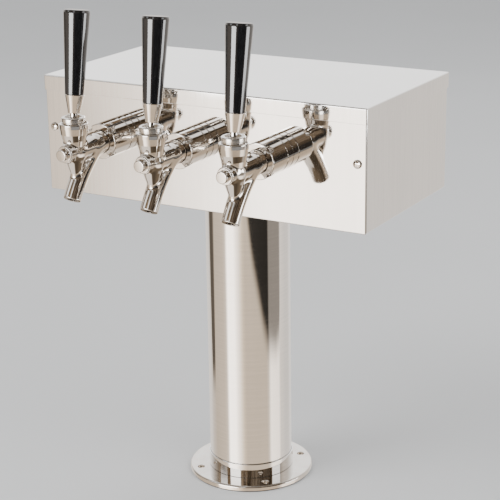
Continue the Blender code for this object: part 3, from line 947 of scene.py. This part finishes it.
def make_elbow():
    face = -SHANK_TAIL - GAP
    pipe = tube("pipe", elbow_points(), 0.0065, LINE_BORE, sides=40)
    collar = nut(0.026, 0.0064, face - 0.009, face)
    bm = bmesh.new()
    bm.from_mesh(flat_shaded(pipe))
    bm.from_mesh(flat_shaded(collar, 30))
    joined = bpy.data.meshes.new("elbow")
    bm.to_mesh(joined)
    bm.free()
    return flat_shaded(joined, 30)


def moving_pieces():
    """Lever, ferrule and handle, each with the ball's centre at its origin."""
    tip = -PIVOT_RISE
    ball = [
        (BALL_RADIUS * math.cos(a), BALL_RADIUS * math.sin(a), 0) for a in np.radians(range(-76, 66, 7))
    ]
    lever = lathe("lever", [
        (0, tip - 0.0030), (0.0021, tip - 0.0026, 0.0010), (0.0030, tip, 0.0010),
        (0.0020, tip + 0.0024, 0.0008), *ball, (STEM_RADIUS, 0.0095, 0.0004),
        (STEM_RADIUS, 0.0495), (0, 0.0495),
    ], sides=64)
    inner = STEM_RADIUS + GAP
    top = HANDLE_LOW - GAP
    ferrule = lathe("ferrule", [
        (inner, FERRULE_LOW), (0.0068, FERRULE_LOW, 0.0004), (0.0074, FERRULE_LOW + 0.0040, 0.0100),
        (0.0108, top, 0.0004), (inner, top),
    ], closed=True, radius=0.0002, steps=6)
    handle = lathe("handle", [
        (0, 0.0510), (inner, 0.0510), (inner, HANDLE_LOW), (0.0105, HANDLE_LOW, 0.0005),
        (0.0147, HANDLE_HIGH - 0.0030, 0.0030), (0.0138, HANDLE_HIGH, 0.0012), (0, HANDLE_HIGH),
    ], steps=6)
    return (
        ("lever", flat_shaded(lever), CHROME),
        ("handle_ferrule", flat_shaded(ferrule), CHROME),
        ("handle", flat_shaded(handle), BLACK),
    )


def make_bonnet():
    """The nut that holds the lever's ball in its seat, about the ball's centre."""
    return flat_shaded(lathe("bonnet", [
        (0.0105, -0.0047), (0.0124, -0.0047, 0.0003), (0.0124, 0.0057, 0.0002), (0.0131, 0.0057, 0.0008),
        (0.0131, 0.0110, 0.0016), (0.0094, 0.0110, 0.0008), (0.0080, 0.0070, 0.0004), (0.0097, 0.0043),
        (0.0105, 0.0),
    ], closed=True, steps=5))


def make_taps():
    still = tap_pieces()
    turning = moving_pieces()
    elbow = make_elbow()
    bonnet = make_bonnet()
    for number, (side, x) in enumerate(TAPS.items()):
        bodies = {"valve_shaft": f"valve_{side}", "seat_washer": f"valve_{side}"}
        origin = Matrix.Translation((x, FRONT_Y, TAP_AXIS_Z))
        for node, mesh, finish in still:
            place(f"{node}_{side}", mesh, finish, bodies.get(node, "tower"), origin)
        place(f"tail_elbow_{side}", elbow, CHROME, at=origin)
        pivot = origin @ Matrix.Translation((0, -LEVER_REACH, PIVOT_RISE))
        place(f"bonnet_nut_{side}", bonnet, SATIN, at=pivot)
        leaning = pivot @ Matrix.Rotation(-LEAN_BACK, 4, "X")
        for node, mesh, finish in turning:
            place(f"{node}_{side}", mesh, finish, f"lever_{side}", leaning)
        make_line(side, Vector((x, FRONT_Y, TAP_AXIS_Z - GAP)) + elbow_points()[-1], number)


# ---------------------------------------------------------------- studio


def make_floor():
    half = 14
    corners = [(-half, -half, 0), (half, -half, 0), (half, half, 0), (-half, half, 0)]
    mesh = bpy.data.meshes.new("floor")
    mesh.from_pydata(corners, [], [(0, 1, 2, 3)])
    mesh.materials.append(PAPER)
    floor = bpy.data.objects.new("floor", mesh)
    floor.visible_glossy = False
    bpy.context.scene.collection.objects.link(floor)


# What polished metal sees, by compass direction: 0 is ahead of the taps, 90 is to the right.
# Each stop is an angle in degrees, a brightness and how warm the tone is. From the bottom up
# come GROUND_STOPS, LOW_STOPS up to the edge that HORIZON_STOPS draw, MIDDLE_STOPS,
# UPPER_STOPS and one OVERHEAD colour, with the WINDOWS over them.
LOW_STOPS = (
    (-180, 1.35, 0.8), (-140, 1.2, 1.2), (-112, 1.3, 1.2), (-100, 1, 2), (-80, 0.8, 3),
    (-45, 0.92, 3), (-37, 1.15, 2.6), (-33, 2.6, 1.8), (-29.5, 4.4, 1.4), (-12, 4.3, 1.6),
    (-4, 2.9, 2), (2, 2.2, 2.2), (8, 1.55, 3), (14, 1.1, 3.5), (20, 0.9, 3.2), (78, 0.88, 3.2),
    (84, 1.1, 2.5), (91, 2.6, 1.8), (118, 2.4, 1.8), (125, 1.35, 1.5), (148, 1.12, 1.2),
    (166, 1.12, 1.2), (180, 1.35, 0.8),
)
MIDDLE_STOPS = (
    (-180, 1.25, 0.6), (-122, 1.2, 0.8), (-106, 0.95, 2), (-97, 0.13, 3), (-84, 0.13, 3),
    (-76, 0.55, 2.5), (-40, 0.85, 2), (-30, 1, 2), (8, 0.8, 2), (16, 0.25, 3),
    (24, 0.05, 2), (83, 0.036, 2), (87, 0.34, 2), (122, 0.36, 2), (127, 1, 1.5),
    (150, 1.2, 1), (180, 1.25, 0.6),
)
UPPER_STOPS = (
    (-180, 2.2, 0.1), (-122, 2.3, 0.1), (-96, 1, 1), (-70, 0.45, 3), (-45, 0.45, 4),
    (-25, 0.48, 4), (0, 0.5, 3.5), (20, 0.46, 3.5), (35, 0.3, 3), (77, 0.2, 3),
    (84, 0.34, 3.5), (111, 0.4, 3), (122, 1, 1.5), (150, 1.2, 1), (180, 2.2, 0.1),
)
GROUND_STOPS = (
    (-180, 0.22, 4), (-85, 0.22, 4), (-66, 1.6, 1.2), (14, 1.5, 1.4), (27, 0.14, 4),
    (60, 0.09, 4), (120, 0.2, 4), (180, 0.22, 4),
)
HORIZON_STOPS = (  # how high the lower part reaches, in degrees above the horizontal
    (-180, -9.0), (-110, -9.0), (-98, -22.5), (-82, -22.5), (-72, -9.0), (14, -9.0), (20, -14.0),
    (26, -16.1), (34, -17.3), (40, -18.1), (48, -18.8), (58, -19.6), (70, -20.6), (84, -21.4),
    (109, -21.5), (121, -21.1), (125, -20.0), (129, -10.0), (180, -9.0),
)
CLUTTER_STOPS = ((-180, 0.0), (-95, 0.0), (-65, 1.0), (105, 1.0), (128, 0.0), (180, 0.0))
CLUTTER_SHADES = (  # what the shapes in the upper part multiply it by
    (0.36, (0.10, 0.09, 0.07)), (0.46, (0.35, 0.32, 0.29)), (0.50, (1.0, 0.95, 0.9)),
    (0.54, (0.2, 0.18, 0.16)), (0.62, (0.95, 0.92, 0.88)),
)
WINDOWS = (  # from and to, sideways and then upwards, in degrees, and a brightness
    (-31.5, 5, -11.0, 4.0, 15.0),
    (94, 124, -13.0, -2.0, 9.0),
    (-29, 0, 20.5, 27.5, 4.4),
    (90, 116, 20.5, 27.5, 2.6),
    (15, 92, -15.0, -11.5, 0.45),
    (-64, -40, 26.0, 60.0, 2.0),
    (4, 17, 29.0, 60.0, 2.2),
)
WINDOW_SOFT, WINDOW_TOP_SOFT, HORIZON_SOFT = 0.7, 1.5, 0.8  # half a soft edge, in degrees
UPPER_FADE, OVERHEAD_FADE, GROUND_FADE = (3.0, 7.0), (40.0, 56.0), (-27.0, -36.0)  # in degrees
OVERHEAD = (0.50, 0.48, 0.45)
LOWEST_EDGE = 30.0  # how far below the horizontal a horizon stop may lie
BRIGHTEST = 18.0  # the brightness that white in a ramp stands for
ROOM_COLOUR, ROOM_STRENGTH = (0.86, 0.87, 0.88, 1.0), 0.85  # what all but a mirror ray sees


def glow(brightness, warmth):
    """A ramp's colour for a brightness and how warm it is."""
    tint = (1 + 0.05 * warmth, 1 - 0.02 * warmth, 1 - 0.09 * warmth)
    return tuple(brightness * c / BRIGHTEST for c in tint)


def flat(colour):
    return tuple(c / BRIGHTEST for c in colour) + (1.0,)


def make_world():
    """An even room for most rays, and the pattern of the tables above for mirror rays."""
    world = bpy.data.worlds.new("studio")
    world.use_nodes = True
    bpy.context.scene.world = world
    nodes = Nodes(world.node_tree)
    direction = nodes.add("ShaderNodeTexCoord").outputs["Generated"]
    x, y, z = nodes.add("ShaderNodeSeparateXYZ", {0: direction}).outputs
    turn = nodes.maths("ARCTAN2", x, nodes.maths("MULTIPLY", y, -1.0))
    share = nodes.maths("MULTIPLY_ADD", turn, 1 / math.tau, 0.5)
    degrees = nodes.maths("MULTIPLY", turn, 180 / math.pi)
    height = nodes.maths("MULTIPLY", nodes.maths("ARCSINE", z), 180 / math.pi)

    def around(stops):
        """A ramp all the way round, from (angle, colour) stops."""
        return nodes.colours(share, [((angle + 180) / 360, colour) for angle, colour in stops])

    def fade(value, start, end):
        """Rises softly from 0 at start to 1 at end."""
        return nodes.add("ShaderNodeMapRange", {"Value": value, "From Min": start, "From Max": end},
                     interpolation_type="SMOOTHSTEP").outputs[0]

    def mixed(weight, first, second, blend="MIX"):
        return nodes.add("ShaderNodeMix", {0: weight, 6: first, 7: second}, data_type="RGBA",
                     blend_type=blend).outputs[2]

    low, middle, upper, ground = (
        around([(angle, glow(brightness, warmth)) for angle, brightness, warmth in stops])
        for stops in (LOW_STOPS, MIDDLE_STOPS, UPPER_STOPS, GROUND_STOPS)
    )
    edge = around([(angle, ((rise + LOWEST_EDGE) / LOWEST_EDGE,) * 3) for angle, rise in HORIZON_STOPS])
    edge = nodes.between(edge, -LOWEST_EDGE, 0.0, start=0.0, end=1.0)
    above = nodes.maths("SUBTRACT", height, edge)

    clutter = nodes.add("ShaderNodeTexNoise", {
        "Vector": direction, "Scale": 5.5, "Detail": 3.0, "Roughness": 0.6,
    })
    clutter = nodes.colours(clutter.outputs["Fac"], CLUTTER_SHADES)
    amount = around([(angle, (most,) * 3) for angle, most in CLUTTER_STOPS])
    upper = mixed(amount, upper, mixed(1.0, upper, clutter, "MULTIPLY"))

    seen = mixed(fade(above, -HORIZON_SOFT, HORIZON_SOFT), low, middle)
    seen = mixed(fade(height, *UPPER_FADE), seen, upper)
    for left, right, bottom, top, brightness in WINDOWS:
        inside = fade(degrees, left - WINDOW_SOFT, left + WINDOW_SOFT)
        for side in (
            fade(degrees, right + WINDOW_SOFT, right - WINDOW_SOFT),
            fade(height, bottom - WINDOW_SOFT, bottom + WINDOW_SOFT),
            fade(height, top + WINDOW_TOP_SOFT, top - WINDOW_TOP_SOFT),
        ):
            inside = nodes.maths("MULTIPLY", inside, side)
        seen = mixed(inside, seen, flat((brightness,) * 3))
    seen = mixed(fade(height, *OVERHEAD_FADE), seen, flat(OVERHEAD))
    seen = mixed(fade(height, *GROUND_FADE), seen, ground)

    mirror = nodes.add("ShaderNodeBackground", {"Color": seen, "Strength": BRIGHTEST})
    room = nodes.add("ShaderNodeBackground", {"Color": ROOM_COLOUR, "Strength": ROOM_STRENGTH})
    is_mirror_ray = nodes.add("ShaderNodeLightPath").outputs["Is Glossy Ray"]
    both = nodes.add("ShaderNodeMixShader", {0: is_mirror_ray, 1: room.outputs[0], 2: mirror.outputs[0]})
    nodes.add("ShaderNodeOutputWorld", {"Surface": both.outputs[0]})


def make_light(name, location, target, size, power):
    """A soft rectangular light that no mirror ray sees."""
    light = bpy.data.lights.new(name, "AREA")
    light.shape, light.size, light.size_y = "RECTANGLE", *size
    light.energy = power
    lamp = bpy.data.objects.new(name, light)
    lamp.location = location
    lamp.rotation_euler = (Vector(target) - Vector(location)).to_track_quat("-Z", "Y").to_euler()
    lamp.visible_glossy = False
    bpy.context.scene.collection.objects.link(lamp)


# The photograph's camera: angles in degrees, the lens in millimetres.
CAMERA_AZIMUTH, CAMERA_ELEVATION, CAMERA_ROLL = 30.009, 17.721, -0.85
CAMERA_AIM, CAMERA_DISTANCE = (0.00199, 0.00115, 0.28568), 1.870894
CAMERA_LENS, SENSOR_WIDTH = 111.35, 36.0


def make_camera():
    azimuth, elevation, roll = map(math.radians, (CAMERA_AZIMUTH, CAMERA_ELEVATION, CAMERA_ROLL))
    back = Vector((
        math.sin(azimuth) * math.cos(elevation), -math.cos(azimuth) * math.cos(elevation),
        math.sin(elevation),
    ))
    level = (-back).cross(Vector((0, 0, 1))).normalized()
    tall = back.cross(level)
    right = math.cos(roll) * level + math.sin(roll) * tall
    up = math.cos(roll) * tall - math.sin(roll) * level
    camera = bpy.data.cameras.new("camera")
    camera.lens, camera.sensor_width = CAMERA_LENS, SENSOR_WIDTH
    camera.clip_start, camera.clip_end = 0.05, 60.0
    view = bpy.data.objects.new("camera", camera)
    turn = Matrix((right, up, back)).transposed().to_4x4()
    view.matrix_world = Matrix.Translation(Vector(CAMERA_AIM) + CAMERA_DISTANCE * back) @ turn
    bpy.context.scene.collection.objects.link(view)
    bpy.context.scene.camera = view


make_base()
make_column()
make_head()
make_taps()
make_floor()
make_world()
make_light("key", (-1.3, -1.6, 2.1), (0, 0, 0.2), (1.4, 1.4), 42)
make_light("fill", (1.9, -0.6, 1.6), (0, 0, 0.2), (1.6, 1.6), 16)
make_light("back", (0.3, 2.0, 1.9), (0, 0, 0.3), (1.8, 1.2), 16)
make_camera()
